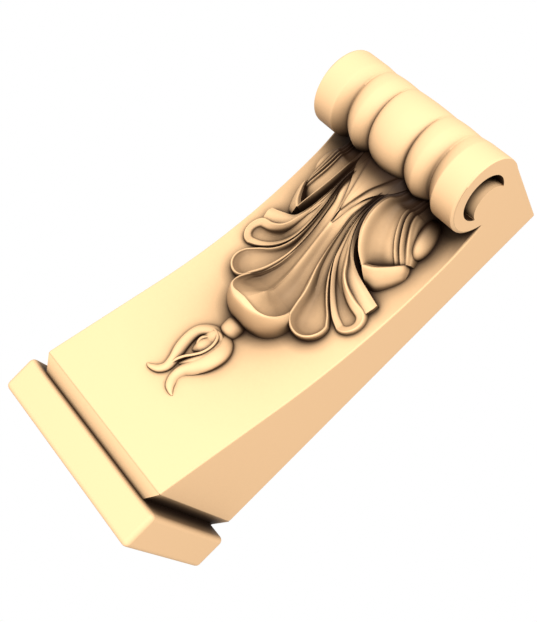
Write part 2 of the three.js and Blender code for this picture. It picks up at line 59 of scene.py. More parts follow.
# %% [markdown]
# Sizes
# The carving is worked out in millimetres. Heights run from the slab's underside, the wall face is
# y = 0, and the middle of the corbel is x = 0. The outer sizes come from the frame's box, so that
# the carved surface fills the same room, and the sizes inside it are named here once.

# %%
# Sizes in millimetres
HEIGHT = (CAD_HIGH.z - CAD_LOW.z) / MM
SLAB_HALF = (CAD_HIGH.x - CAD_LOW.x) / 2 / MM
SLAB_DEPTH = 92.4
SLAB_THICKNESS = 24.3
SLAB_EDGE = 3.4
HALF = 60.5
BLOCK_EDGE = 1.1
FOOT_TOP = 33.3
FOOT_TAPER = 7.2
FOOT_SETBACK = 4.2
NECK_DEPTH = 39.9
NECK_HEIGHT = 234.5
SCOOP_RADIUS = 343.5
SPLAY = math.radians(21.5)
ROLL_RADIUS = 25.3
ROLL_OVERHANG = 67.2
ROLL_HEIGHT = HEIGHT - ROLL_RADIUS
NOTCH_HEIGHT = 265
ARC_START = NECK_HEIGHT - SCOOP_RADIUS * math.sin(SPLAY)
ARC_START_DEPTH = NECK_DEPTH + SCOOP_RADIUS * (1 - math.cos(SPLAY))
FINE = 1.0
print("front is straight below", round(ARC_START, 1), "mm")

# %% [markdown]
# Curves and skins
# A carver draws the ridges of a leaf first and then cuts the wood between them. The leaf is made
# the same way: guide lines follow the ridges and hollows, a smooth line runs through the points of
# each guide, and a skin is stretched across the guides. Each skin is closed by an under-face
# inside the block, so that every petal is a solid that can be joined to its neighbours.


# %%
# Places on the swept front
def front_depth(z):
    """Distance from the wall face to the swept front at heights z."""
    z = np.asarray(z, float)
    straight = ARC_START_DEPTH + (ARC_START - z) * math.tan(SPLAY)
    arc = NECK_DEPTH + SCOOP_RADIUS - np.sqrt(SCOOP_RADIUS**2 - (z - NECK_HEIGHT) ** 2)
    return np.where(z < ARC_START, straight, arc)


def on_front(points):
    """Carving points (x across, h proud of the front, z up) in their places."""
    p = np.asarray(points, float)
    return np.stack([p[..., 0], -(front_depth(p[..., 2]) + p[..., 1]), p[..., 2]], -1)


print("depth at the foot and the neck:",
      [round(float(front_depth(z)), 1) for z in (FOOT_TOP, NECK_HEIGHT)], "mm")


# %%
# Smooth lines through points, and skins across guide lines
TINY = 1e-6    # the least that a length is divided by


def smooth(points, at):
    """A smooth line through points, read at values from 0 to 1."""
    p = np.asarray(points, float)
    p = np.concatenate([2 * p[:1] - p[1:2], p, 2 * p[-1:] - p[-2:-1]])
    spans = len(p) - 3
    s = np.clip(np.asarray(at, float), 0, 1) * spans
    i = np.minimum(s.astype(int), spans - 1)
    t = (s - i).reshape(-1, *[1] * (p.ndim - 1))
    a, b, c, d = p[i], p[i + 1], p[i + 2], p[i + 3]
    return b + 0.5 * t * (c - a + t * (2 * a - 5 * b + 4 * c - d + t * (3 * (b - c) + d - a)))


def along(points, steps):
    """A smooth line through points, at evenly spaced places."""
    return smooth(points, np.linspace(0, 1, round(steps * FINE) + 1))


def skin(guides, steps, across=4, sharp=()):
    """A grid stretched over guide lines: rows run along the guides, columns across them. The
    surface is smooth across a guide, apart from the ones counted in sharp."""
    lines = np.stack([along(guide, steps) for guide in guides], 0)
    breaks = [0, *sharp, len(guides) - 1]
    parts = []
    for first, last in zip(breaks, breaks[1:]):
        count = max(1, round(across * FINE)) * (last - first)
        part = smooth(lines[first:last + 1], np.linspace(0, 1, count + 1))
        parts.append(part if not parts else part[1:])
    return np.concatenate(parts, 0).transpose(1, 0, 2)


# %% [markdown]
# Solids
# Joining closed solids is dependable only where each one is closed and turned outwards. Corners
# that fall in one place are merged, and then the whole carving is joined in one operation.


# %%
# Closed meshes
SAME_PLACE = 1e-7
NO_LENGTH = 1e-8


def solid(name, points, faces):
    """A closed mesh object from points in millimetres, turned outwards."""
    mesh = bpy.data.meshes.new(name)
    place = np.asarray(points, float) * MM
    place[:, 2] += CAD_LOW.z
    mesh.from_pydata(place.tolist(), [], [list(face) for face in faces])
    shape = bmesh.new()
    shape.from_mesh(mesh)
    bmesh.ops.remove_doubles(shape, verts=shape.verts, dist=SAME_PLACE)
    bmesh.ops.dissolve_degenerate(shape, edges=shape.edges, dist=NO_LENGTH)
    if shape.calc_volume(signed=True) < 0:
        bmesh.ops.reverse_faces(shape, faces=shape.faces)
    open_edges = sum(not edge.is_manifold for edge in shape.edges)
    shape.to_mesh(mesh)
    shape.free()
    piece = bpy.data.objects.new(name, mesh)
    bpy.context.scene.collection.objects.link(piece)
    print(name + ":", len(mesh.polygons), "faces,", open_edges, "open edges")
    return piece


def mirrored(piece):
    """The same solid on the other side of the middle."""
    twin = piece.copy()
    twin.data = piece.data.copy()
    twin.data.transform(Matrix.Scale(-1, 4, Vector((1, 0, 0))))
    twin.data.flip_normals()
    bpy.context.scene.collection.objects.link(twin)
    return twin


def both_sides(*pieces):
    """Each piece, followed by its twin on the other side."""
    return [side for piece in pieces for side in (piece, mirrored(piece))]


# %%
# Skins made solid
SINK = 5


def carved(name, grid, folded=False):
    """A solid under a grid of carving points, down to an under-face inside the block.
    folded: the last column runs down and back up one line, as the middle of a petal does."""
    rows, cols = grid.shape[:2]
    under = grid.copy()
    under[..., 1] = -SINK
    points = np.concatenate([on_front(grid).reshape(-1, 3), on_front(under).reshape(-1, 3)])
    n = rows * cols
    faces = []
    for i in range(rows - 1):
        for j in range(cols - 1):
            a, b = i * cols + j, i * cols + j + 1
            c, d = b + cols, a + cols
            faces += [(a, b, c, d), (n + d, n + c, n + b, n + a)]
        a, d = i * cols, (i + 1) * cols
        faces.append((a, d, n + d, n + a))
        if not folded:
            e = cols - 1
            faces.append((n + a + e, n + d + e, d + e, a + e))
    last = (rows - 1) * cols
    for j in range(cols - 1):
        faces.append((n + j, n + j + 1, j + 1, j))
        faces.append((last + j, last + j + 1, n + last + j + 1, n + last + j))
    return solid(name, points, faces)


print("skins are closed", SINK, "mm under the front")


# %%
# Sawn shapes, and joining
CORNER = math.radians(30)


def prism(name, outline, low, high):
    """A solid from an outline of (y, z) points, from x = low to x = high."""
    n = len(outline)
    points = [(low, y, z) for y, z in outline] + [(high, y, z) for y, z in outline]
    faces = [tuple(range(n)), tuple(range(2 * n - 1, n - 1, -1))]
    faces += [(i, i + n, (i + 1) % n + n, (i + 1) % n) for i in range(n)]
    return solid(name, points, faces)


def rounded(piece, width, segments):
    """Rounds a solid's corners."""
    shape = bmesh.new()
    shape.from_mesh(piece.data)
    edges = [edge for edge in shape.edges if edge.is_manifold and edge.calc_face_angle() > CORNER]
    bmesh.ops.bevel(shape, geom=edges, offset=width * MM, segments=segments, profile=0.5,
                    affect="EDGES", clamp_overlap=True)
    shape.to_mesh(piece.data)
    shape.free()
    return piece


def applied(piece):
    """The plain mesh that a piece's modifiers make. The modifiers are removed."""
    bpy.context.view_layer.update()
    mesh = bpy.data.meshes.new_from_object(
        piece.evaluated_get(bpy.context.evaluated_depsgraph_get()))
    piece.modifiers.clear()
    return mesh


def join(base, others, operation="UNION"):
    """Joins or cuts closed solids into one, and removes the others."""
    group = bpy.data.collections.new("others")
    bpy.context.scene.collection.children.link(group)
    for other in others:
        bpy.context.scene.collection.objects.unlink(other)
        group.objects.link(other)
    modifier = base.modifiers.new("join", "BOOLEAN")
    modifier.operation = operation
    modifier.operand_type = "COLLECTION"
    modifier.collection = group
    modifier.solver = "MANIFOLD"
    base.data = applied(base)
    for other in others:
        bpy.data.objects.remove(other)
    bpy.data.collections.remove(group)
    return base


# %% [markdown]
# Block, foot and slab
# The block is sawn to its side outline: straight and leaning out below, then one long arc up to
# the notch behind the roll. A tapered foot joins it to a slab with eased edges.


# %%
# Block
NOTCH_TAPER, NOTCH_FILL = 30, 3
FOOT_EDGE = 2.6
EDGE_STEPS = 6
FRONT_STEPS = 60


def eased(before, corner, after, width):
    """Rounds a corner of an outline."""
    before, corner, after = (np.array(p, float) for p in (before, corner, after))
    start = corner + (before - corner) / np.linalg.norm(before - corner) * width
    end = corner + (after - corner) / np.linalg.norm(after - corner) * width
    steps = np.linspace(0, 1, EDGE_STEPS + 1)[:, None]
    return (start * (1 - steps)**2 + corner * 2 * steps * (1 - steps) + end * steps**2).tolist()


def make_block():
    """The block up to its flat top. Its front fills out a little where it closes the notch."""
    heights = np.linspace(ARC_START, NOTCH_HEIGHT, round(FRONT_STEPS * FINE))
    closing = np.clip((heights - NOTCH_HEIGHT) / NOTCH_TAPER + 1, 0, 1) ** 2
    depths = front_depth(heights) + closing * NOTCH_FILL
    front = [(-float(d), float(z)) for d, z in zip(depths, heights)]
    toe = (-float(front_depth(FOOT_TOP)), FOOT_TOP)
    heel = (0, FOOT_TOP)
    outline = [*eased(heel, toe, front[0], FOOT_EDGE), *front, (-ROLL_OVERHANG, NOTCH_HEIGHT),
               (-ROLL_OVERHANG, HEIGHT), (0, HEIGHT), *eased((0, HEIGHT), heel, toe, FOOT_EDGE)]
    return rounded(prism("block", outline, -HALF, HALF), BLOCK_EDGE, segments=3)


block = make_block()


# %%
# Foot and slab
# The foot's top lies inside the block's rounded edges, by these shares of them
EDGE_INSET, TOE_INSET, EDGE_RISE = 0.22, 0.42, 0.4


def make_foot():
    """The taper between slab and block, as three rings of four corners."""
    deep = float(front_depth(FOOT_TOP))
    narrow = (HALF - FOOT_TAPER, deep - FOOT_SETBACK)
    wide = (HALF - BLOCK_EDGE * EDGE_INSET, deep - FOOT_EDGE * TOE_INSET)
    points = []
    for (half, depth), z in ((narrow, SLAB_THICKNESS / 2), (narrow, SLAB_THICKNESS),
                             (wide, FOOT_TOP + BLOCK_EDGE * EDGE_RISE)):
        points += [(half, 0, z), (half, -depth, z), (-half, -depth, z), (-half, 0, z)]
    faces = [(0, 1, 2, 3), (11, 10, 9, 8)]
    for level in (0, 4):
        for i in range(4):
            k = (i + 1) % 4
            faces.append((level + i, level + i + 4, level + k + 4, level + k))
    return solid("foot", points, faces)


def make_slab():
    outline = [(-SLAB_DEPTH, 0), (-SLAB_DEPTH, SLAB_THICKNESS), (0, SLAB_THICKNESS), (0, 0)]
    return rounded(prism("slab", outline, -SLAB_HALF, SLAB_HALF), SLAB_EDGE, segments=5)


foot = make_foot()
slab = make_slab()

# %% [markdown]
# Roll
# The roll is turned work: a plain band at each end, a full round torus beside it, and a barrel in
# the middle. Its shape follows a rule, a radius that changes along one axis, so Geometry Nodes
# make it as a turner would: a straight line is cut into short steps, each step gets its radius
# from the profile curve, and a circle is swept along the line. The profile is read from the middle
# outwards, so that both halves are alike. Each ring is then lifted until its top is nearly level
# with the others, so that the grooves are deep below and fade out towards the flat top, as a
# carver cuts them where the roll grows out of the block.

# %%
# Profile of the roll, from the middle to one end
BARREL_RADIUS = 24.95
BAND_EDGE = 43.4
OUTER_GROOVE, OUTER_GROOVE_RADIUS = 35.4, 21.6
TORUS_CREST, TORUS_RADIUS = 25.4, 24.8
INNER_GROOVE, INNER_GROOVE_RADIUS = 15.2, 22
BARREL_FULLNESS, TORUS_INNER_FULLNESS = 1.7, 1.35
TORUS_OUTER_FULLNESS, BAND_FULLNESS = 1.3, 1
BARREL_STEPS, SLOPE_STEPS = 10, 7


def slope(low, high, steps, fullness):
    """A rounded slope from a groove up to a crest, [x, radius] each; a fullness of 2 is a quarter
    round and 1 is a straight line. The groove is left out and the crest is kept."""
    turn = np.linspace(0, np.pi / 2, steps + 1)[1:]
    return [(low[0] + (high[0] - low[0]) * (1 - math.cos(a) ** (2 / fullness)),
             low[1] + (high[1] - low[1]) * math.sin(a) ** (2 / fullness)) for a in turn]


def roll_profile():
    inner, crest = (INNER_GROOVE, INNER_GROOVE_RADIUS), (TORUS_CREST, TORUS_RADIUS)
    outer, band = (OUTER_GROOVE, OUTER_GROOVE_RADIUS), (BAND_EDGE, ROLL_RADIUS)
    return [
        *slope(inner, (0, BARREL_RADIUS), BARREL_STEPS, BARREL_FULLNESS)[::-1],
        inner,
        *slope(inner, crest, SLOPE_STEPS, TORUS_INNER_FULLNESS),
        *slope(outer, crest, SLOPE_STEPS, TORUS_OUTER_FULLNESS)[-2::-1],
        outer,
        *slope(outer, band, SLOPE_STEPS, BAND_FULLNESS),
        (HALF - BLOCK_EDGE, ROLL_RADIUS),
        (HALF, ROLL_RADIUS - BLOCK_EDGE),
    ]


print("profile of the roll:", len(roll_profile()), "points")


# %%
# Nodes that calculate
def calculate(nodes, links, operation, first, second):
    """A sum node: each value is a number or the output of another node."""
    node = nodes.new("ShaderNodeMath")
    node.operation = operation
    for socket, value in zip(node.inputs, (first, second)):
        if isinstance(value, (int, float)):
            socket.default_value = value
        else:
            links.new(value, socket)
    return node.outputs["Value"]


def profile_curve(nodes, profile, reach, top):
    """A curve node that reads a profile of [x, radius] points, both as shares."""
    node = nodes.new("ShaderNodeFloatCurve")
    curve = node.mapping.curves[0]
    for x, radius in profile[1:-1]:
        curve.points.new(x / reach, radius / top)
    curve.points[0].location = (0, profile[0][1] / top)
    curve.points[len(curve.points) - 1].location = (1, profile[-1][1] / top)
    for point in curve.points:
        point.handle_type = "VECTOR"
    node.mapping.update()
    return node


# %%
# Turning with Geometry Nodes
TREE_INPUTS = (("Half Length", "NodeSocketFloat"), ("Largest Radius", "NodeSocketFloat"),
               ("Ring Lift", "NodeSocketFloat"), ("Steps", "NodeSocketInt"),
               ("Sides", "NodeSocketInt"), ("Material", "NodeSocketMaterial"))


def turning_tree(profile, reach, top):
    """A node tree that turns a profile, and the identifiers of its inputs by name."""
    tree = bpy.data.node_groups.new("turning", "GeometryNodeTree")
    nodes, links = tree.nodes, tree.links
    inputs = {}
    for title, kind in TREE_INPUTS:
        socket = tree.interface.new_socket(title, in_out="INPUT", socket_type=kind)
        inputs[title] = socket.identifier
    tree.interface.new_socket("Mesh", in_out="OUTPUT", socket_type="NodeSocketGeometry")
    given, made = nodes.new("NodeGroupInput"), nodes.new("NodeGroupOutput")
    half, largest = given.outputs["Half Length"], given.outputs["Largest Radius"]

    # the axis, cut into steps
    line, cut = nodes.new("GeometryNodeCurvePrimitiveLine"), nodes.new("GeometryNodeResampleCurve")
    start, end = nodes.new("ShaderNodeCombineXYZ"), nodes.new("ShaderNodeCombineXYZ")
    links.new(calculate(nodes, links, "MULTIPLY", half, -1), start.inputs["X"])
    links.new(half, end.inputs["X"])
    links.new(start.outputs[0], line.inputs["Start"])
    links.new(end.outputs[0], line.inputs["End"])
    links.new(line.outputs[0], cut.inputs["Curve"])
    links.new(given.outputs["Steps"], cut.inputs["Count"])

    # the radius of each step
    place, split = nodes.new("GeometryNodeInputPosition"), nodes.new("ShaderNodeSeparateXYZ")
    links.new(place.outputs[0], split.inputs[0])
    across = calculate(nodes, links, "ABSOLUTE", split.outputs["X"], 0)
    outline = profile_curve(nodes, profile, reach, top)
    links.new(calculate(nodes, links, "DIVIDE", across, half), outline.inputs["Value"])
    radius = calculate(nodes, links, "MULTIPLY", outline.outputs[0], largest)

    # a circle of that radius, swept along the axis
    circle = nodes.new("GeometryNodeCurvePrimitiveCircle")
    sweep = nodes.new("GeometryNodeCurveToMesh")
    circle.inputs["Radius"].default_value = 1
    sweep.inputs["Fill Caps"].default_value = True
    links.new(given.outputs["Sides"], circle.inputs["Resolution"])
    links.new(cut.outputs[0], sweep.inputs["Curve"])
    links.new(radius, sweep.inputs["Scale"])
    links.new(circle.outputs[0], sweep.inputs["Profile Curve"])

    # each ring lifted towards a level top
    raised, rise = nodes.new("GeometryNodeSetPosition"), nodes.new("ShaderNodeCombineXYZ")
    low = calculate(nodes, links, "SUBTRACT", largest, radius)
    lift = calculate(nodes, links, "MULTIPLY", low, given.outputs["Ring Lift"])
    links.new(lift, rise.inputs["Z"])
    links.new(sweep.outputs[0], raised.inputs["Geometry"])
    links.new(rise.outputs[0], raised.inputs["Offset"])

    realize = nodes.new("GeometryNodeRealizeInstances")
    finish = nodes.new("GeometryNodeSetMaterial")
    links.new(raised.outputs[0], realize.inputs[0])
    links.new(realize.outputs[0], finish.inputs["Geometry"])
    links.new(given.outputs["Material"], finish.inputs["Material"])
    links.new(finish.outputs[0], made.inputs["Mesh"])
    return tree, inputs


# %%
# The roll
RING_LIFT = 0.84
ROLL_STEPS, ROLL_SIDES = 220, 160
# The cream material, which also carries the painted shade and painted light set under Finish
cream = bpy.data.materials.new("cream_with_painted_shade")


def make_roll():
    """The roll as a plain closed mesh, turned by the node tree and laid on its axis."""
    tree, inputs = turning_tree(roll_profile(), HALF, ROLL_RADIUS)
    turner = bpy.data.objects.new("turner", bpy.data.meshes.new("turner"))
    bpy.context.scene.collection.objects.link(turner)
    turning = turner.modifiers.new("turning", "NODES")
    turning.node_group = tree
    for title, value in (("Half Length", float(HALF)), ("Largest Radius", float(ROLL_RADIUS)),
                         ("Ring Lift", RING_LIFT), ("Steps", round(ROLL_STEPS * FINE)),
                         ("Sides", round(ROLL_SIDES * FINE)), ("Material", cream)):
        turning[inputs[title]] = value
    mesh = applied(turner)
    points = [(v.co.x, v.co.y - ROLL_OVERHANG, v.co.z + ROLL_HEIGHT) for v in mesh.vertices]
    faces = [tuple(face.vertices) for face in mesh.polygons]
    bpy.data.objects.remove(turner)
    bpy.data.meshes.remove(mesh)
    return solid("roll", points, faces)


roll = make_roll()

# %% [markdown]
# Eye
# Each end of the roll has a deep crescent cut in it, as if the scroll were wound round a plug that
# is left standing flush. The crescent is a round hole with a smaller round left in it, off centre.


# %%
# Crescent eye in each end
EYE_RADIUS = 15.4
EYE_DEPTH = 13
DISC_RADIUS = 12.3
DISC_BACK = 10.9
DISC_RISE = 1
DRUM_SIDES = 72


def drum(name, radius, depth, y, z):
    """A round bar across the end of the roll."""
    turn = np.linspace(0, 2 * np.pi, DRUM_SIDES, endpoint=False)
    outline = [(y + radius * math.cos(a), z + radius * math.sin(a)) for a in turn]
    return prism(name, outline, HALF - depth, HALF + depth)


def make_eye():
    """The crescent as a solid, to be cut out of the roll."""
    hollow = drum("hollow", EYE_RADIUS, EYE_DEPTH, -ROLL_OVERHANG, ROLL_HEIGHT - DISC_RISE)
    disc = drum("plug", DISC_RADIUS, 2 * EYE_DEPTH, -ROLL_OVERHANG + DISC_BACK,
                ROLL_HEIGHT + DISC_RISE)
    return join(hollow, [disc], "DIFFERENCE")


eyes = both_sides(make_eye())

# %% [markdown]
# Petals
# Each petal is a gouged flute between two ridges, closed by a round end. Across a petal the
# surface climbs its outer side, rolls over a narrow rim, drops down the gouge's wall and runs
# into the floor, and the same section follows the rim all the way round.

# %%
# Ridges of the leaf on the +X half, from under the roll to the petal ends
MIDDLE_RIDGE = [(12.2, 22, 250), (11.6, 27.4, 238), (11, 29, 229.5), (9.8, 28.4, 224),
                (8.2, 26.6, 216.8), (8, 23.2, 207), (8.3, 19, 196), (9.8, 14.8, 184.6),
                (12.2, 11.2, 175.5), (14.8, 9, 167.2), (17, 8.9, 160), (20.3, 9.8, 152.2)]
INNER_RIDGE = [(12.9, 21.6, 250), (12.3, 27, 238), (11.8, 28.3, 229.5), (11.2, 27.4, 223),
               (10.8, 24.4, 213), (12, 19.6, 202), (14, 15.2, 193), (17, 10.8, 185),
               (21.4, 7, 178), (27, 4.4, 172), (33.4, 3.6, 166.8), (38.6, 3.6, 161.6)]
LOWER_RIDGE = [(13.5, 21.6, 250), (12.9, 27, 238), (12.5, 28.3, 229.5), (12, 27.8, 222),
               (12, 25, 213), (13.4, 20.4, 203), (15.2, 16.4, 194.6), (18.6, 11.6, 187),
               (23.4, 7.4, 180), (29.4, 4.4, 173.8), (36.4, 2.8, 168.6), (43.5, 2, 165.6)]
UPPER_RIDGE = [(14.8, 21.6, 250), (14, 27.2, 238), (13.6, 28.5, 229.5), (13.8, 27.9, 221),
               (15.8, 25.6, 212), (18.8, 22, 204.4), (22.4, 18.4, 197.4), (25.6, 15.4, 191.4),
               (29.6, 12.6, 187.4), (34.4, 10, 184.8), (39.8, 7.2, 183.2), (45.4, 5, 182.6)]
LEAF_RIDGES = MIDDLE_RIDGE, INNER_RIDGE, LOWER_RIDGE, UPPER_RIDGE
print("ridges of the leaf end at heights", [ridge[-1][2] for ridge in LEAF_RIDGES])


# %%
# A gouged petal
WIDEST_RIM = 0.42
BANK_WIDTH, WIDEST_BANK = 0.6, 0.62
SECTION_STEPS = 4


def round_end(left, right, reach, height, around):
    """The round end of a petal between two ridges, with each point's share of the way round."""
    centre = (left[-1] + right[-1]) / 2
    across = (right[-1] - left[-1])[[0, 2]]
    radius = np.hypot(*across) / 2
    across = across / (2 * radius)
    ahead = np.array([across[1], -across[0]])
    travel = (left[-1] - left[-4])[[0, 2]]
    ahead = ahead * np.sign(ahead @ travel)
    turn = np.linspace(0, np.pi, round(around * FINE) + 1)[1:-1]
    bow = np.sin(turn)
    side = (1 - np.cos(turn)) / 2
    level = left[-1][1] + (right[-1][1] - left[-1][1]) * side
    end = np.stack([
        centre[0] - across[0] * radius * np.cos(turn) + ahead[0] * radius * reach * bow,
        level + (height - level) * bow,
        centre[2] - across[1] * radius * np.cos(turn) + ahead[1] * radius * reach * bow,
    ], 1)
    return end, side


def gouge(crest, spines, rim, bank):
    """The grid of a gouge, across its rim at each crest point and down to its spine point."""
    out = (crest - spines)[:, [0, 2]]
    wide = np.maximum(np.hypot(out[:, 0], out[:, 1]), TINY)
    out = out / wide[:, None]
    width = np.minimum(rim, wide * WIDEST_RIM)
    top = crest[:, 1]
    fall = top - spines[:, 1]
    wall = np.minimum(BANK_WIDTH * bank, wide / width * WIDEST_BANK)
    floor = wide / width - wall

    def at(widths, height):
        return np.stack([crest[:, 0] + out[:, 0] * widths * width, height,
                         crest[:, 2] + out[:, 1] * widths * width], 1)

    section = np.stack([
        at(0.85, top * 0 - SINK + 1),                        # foot, inside the block
        at(0.72, np.minimum(top - width * 1.3, top * 0.5)),  # outer side
        at(0.5, top - width * 0.42),
        at(0.18, top),                                       # rim
        at(-0.22, top - width * 0.06),
        at(-wall, top - fall * 0.3),                         # wall of the gouge
        at(-wall - floor * 0.22, top - fall * 0.74),
        at(-wall - floor * 0.55, top - fall * 0.95),         # floor
        spines,
    ], 0)
    steps = SECTION_STEPS * (len(section) - 1)
    grid = smooth(section, np.linspace(0, 1, steps + 1)).transpose(1, 0, 2)
    grid[:, -1] = spines
    return grid


def petal(name, left, right, rims, depths, floor, reach, end_height, bank=1, steps=66, around=36):
    """A gouge between two ridges, with a rim width for each, a floor from root to end that lies
    depths below the lower ridge and a share floor of the way across, and a round end. A larger
    bank makes the slope inside the rims wider."""
    left, right = along(left, steps), along(right, steps)
    end, side = round_end(left, right, reach, end_height, around)
    count = len(left)
    drop = smooth(np.array(depths, float), np.linspace(0, 1, count))
    share = np.linspace(0.5, floor, count)[:, None]
    spine = left + (right - left) * share
    spine[:, 1] = np.minimum(left[:, 1], right[:, 1]) - drop
    crest = np.concatenate([left, end, right[::-1]])
    spines = np.concatenate([spine, np.repeat(spine[-1:], len(end), 0), spine[::-1]])
    side = np.concatenate([np.zeros(count), side, np.ones(count)])
    rim = rims[0] + (rims[1] - rims[0]) * side
    return carved(name, gouge(crest, spines, rim, bank), True)


# %%
# Petals, band and blade
# How far the blade lies below its ridges, from the root to their ends
BLADE_SINK = (0.3, 0.35, 0.4, 0.5, 0.7, 1.1, 1.8, 3, 4.5, 6, 7, 8)


def make_petals():
    outer = petal("outer_petal", UPPER_RIDGE, LOWER_RIDGE, rims=(4.6, 3.4),
                  depths=(0.2, 0.3, 1.2, 2.6, 2.4, 2), floor=0.56, reach=0.82, end_height=3.2,
                  bank=1.7)
    inner = petal("inner_petal", INNER_RIDGE, MIDDLE_RIDGE, rims=(2, 2.2),
                  depths=(0.2, 0.3, 1.2, 2.6, 2.8, 3), floor=0.55, reach=1, end_height=6)
    return [outer, inner]


def make_band():
    """The flat band over the outer petal, cut off square at its end."""
    return carved("band", skin([
        [(23, -2, 267.3), (18.6, -2, 240), (17.2, -2, 228), (17.6, -2, 218), (20, -2, 208.8),
         (25, -2, 200.8), (31.4, -2, 197), (41, -2, 194.2), (50.6, -2, 191.8)],
        [(22.4, 16, 267.3), (18, 24, 240), (16.6, 25.6, 228), (16.9, 24.4, 218),
         (19.5, 21.8, 208.4), (24.4, 16.6, 200.6), (31, 10.4, 196.4), (41, 6.2, 193.4),
         (50.2, 3.6, 191)],
        [(14.6, 21.4, 267.3), (14.1, 26.8, 240), (14, 28, 228), (14.8, 26.6, 218),
         (17.4, 23.8, 208.8), (21.8, 18.8, 201), (28, 12.4, 195.2), (39, 7.2, 190.2),
         (50.3, 4.2, 187.6)],
        [(14, 21.2, 267.3), (13.6, 26.6, 240), (13.4, 27.6, 228), (13.6, 26, 218),
         (14.8, 24, 210), (18, 20.2, 202.6), (23.8, 14, 193.4), (36, 7, 185.8), (49.2, 3.4, 183)],
        [(13, -2, 267.3), (13, -2, 240), (12.8, -2, 228), (13, -2, 218), (13.6, -2, 209.6),
         (16.8, -2, 201.4), (23, -2, 191.4), (35, -2, 183.4), (48.4, -2, 180.4)],
    ], steps=60, across=5, sharp=(1, 3)))


def make_blade():
    """The wood between the ridges: close under them at the root, sinking away to their ends."""
    sink = np.array(BLADE_SINK)[:, None] * (0, 1, 0)
    ridges = [np.array(ridge, float) - sink for ridge in LEAF_RIDGES]
    feet = [ridges[0] * (1, 0, 1), ridges[-1] * (1, 0, 1)]
    guides = [feet[0], *ridges, feet[1]]
    return carved("blade", skin(guides, steps=50, across=5, sharp=(1, 4)))


petals = both_sides(*make_petals(), make_band(), make_blade())

# %% [markdown]
# Middle lobe and tip
# The middle lobe runs from under the roll to a lip that curls out from the block. It has a rib
# down its middle and a gouge on either side. A pointed tip of a second leaf lies over its root.


# %%
# Middle lobe
# One more guide rounds the lip's inner edge, at these shares of the way down the wall
LIP_ROUND = (0.3, 0.5, 0.3)


def make_middle_lobe():
    half = [
        [(13.4, -2, 250), (12, -2, 229), (9.5, -2, 216), (9.6, -2, 200), (12, -2, 180),
         (15.5, -2, 167), (20.4, -2, 157), (24.2, -2, 150), (24.6, -2, 143), (22.4, -2, 135.4),
         (17, -2, 129.4), (8, -2, 126.6), (0, -2, 126)],
        [(13, 17, 250), (11.6, 24, 229), (8.8, 22, 216), (8.8, 16, 200), (11.2, 8, 180),
         (14.8, 4, 167), (19.4, 4, 157), (22.9, 6.4, 150), (22.9, 8, 143.8), (20, 9, 137),
         (14.6, 8.8, 131.6), (7.4, 8.4, 128.6), (0, 8.4, 128)],
        [(12.7, 20.8, 250), (11.2, 27.6, 229), (8.2, 25.4, 216), (8, 19.6, 200), (10.4, 12, 180),
         (13.8, 7.6, 167), (18, 7.4, 157), (20.7, 10.2, 150.8), (20.3, 13.6, 144.8),
         (17.2, 17, 140.4), (12, 19.4, 137.4), (6, 21.2, 136), (0, 21.8, 135.8)],
        [(11.8, 21.4, 250), (10.4, 28.2, 229), (7.4, 26, 216), (7.2, 20, 200), (9.5, 12, 180),
         (12.8, 7.6, 167), (16.6, 7, 157), (19.2, 10, 151.2), (18.9, 14.4, 145.4),
         (16, 18.2, 141.6), (11.2, 20.8, 139.9), (5.5, 22.6, 140.2), (0, 23.4, 140.6)],
        [(10.4, 21.4, 250), (8.6, 28.4, 229), (5.9, 26.2, 216), (5.7, 19.4, 200),
         (7.6, 10.8, 180), (10.8, 5.6, 167), (14, 3.8, 157), (15.8, 4.6, 152.2), (15.3, 7, 147.8),
         (12.6, 10.4, 145.4), (8.8, 13.8, 144.2), (4.4, 17.4, 143.8), (0, 19.4, 144)],
        [(8.6, 20, 250), (6.2, 27.4, 229), (3.4, 26.4, 216), (3.2, 20, 200), (4, 11.6, 180),
         (5.4, 6.2, 167), (6.6, 4.4, 157), (7, 4.9, 153.4), (6.6, 6.6, 151), (5.4, 9, 149.6),
         (3.8, 11.6, 149), (1.9, 13.8, 148.8), (0, 15.2, 149)],
        [(4.4, 19, 250), (2.8, 24.6, 229), (1.2, 26, 216), (1, 22.2, 200), (1.2, 14.8, 180),
         (1.4, 10.2, 167), (1.4, 8.8, 157), (1.4, 9.2, 154.6), (1.3, 10.2, 153), (1.1, 11.4, 152),
         (0.8, 12.6, 151.4), (0.4, 13.5, 151), (0, 14, 150.8)],
        [(0, 18, 250), (0, 23.6, 229), (0, 25.4, 216), (0, 23, 200), (0, 15.8, 180),
         (0, 11.8, 167), (0, 10.6, 157), (0, 10.9, 155), (0, 11.5, 153.6), (0, 12.3, 152.6),
         (0, 13.1, 151.8), (0, 13.7, 151.2), (0, 14.1, 150.9)],
    ]
    crest, wall = np.array(half[3], float), np.array(half[4], float)
    half.insert(4, crest + (wall - crest) * LIP_ROUND)
    return carved("middle_lobe", skin(half, steps=120, across=5, sharp=(3,)))


middle_lobe = both_sides(make_middle_lobe())


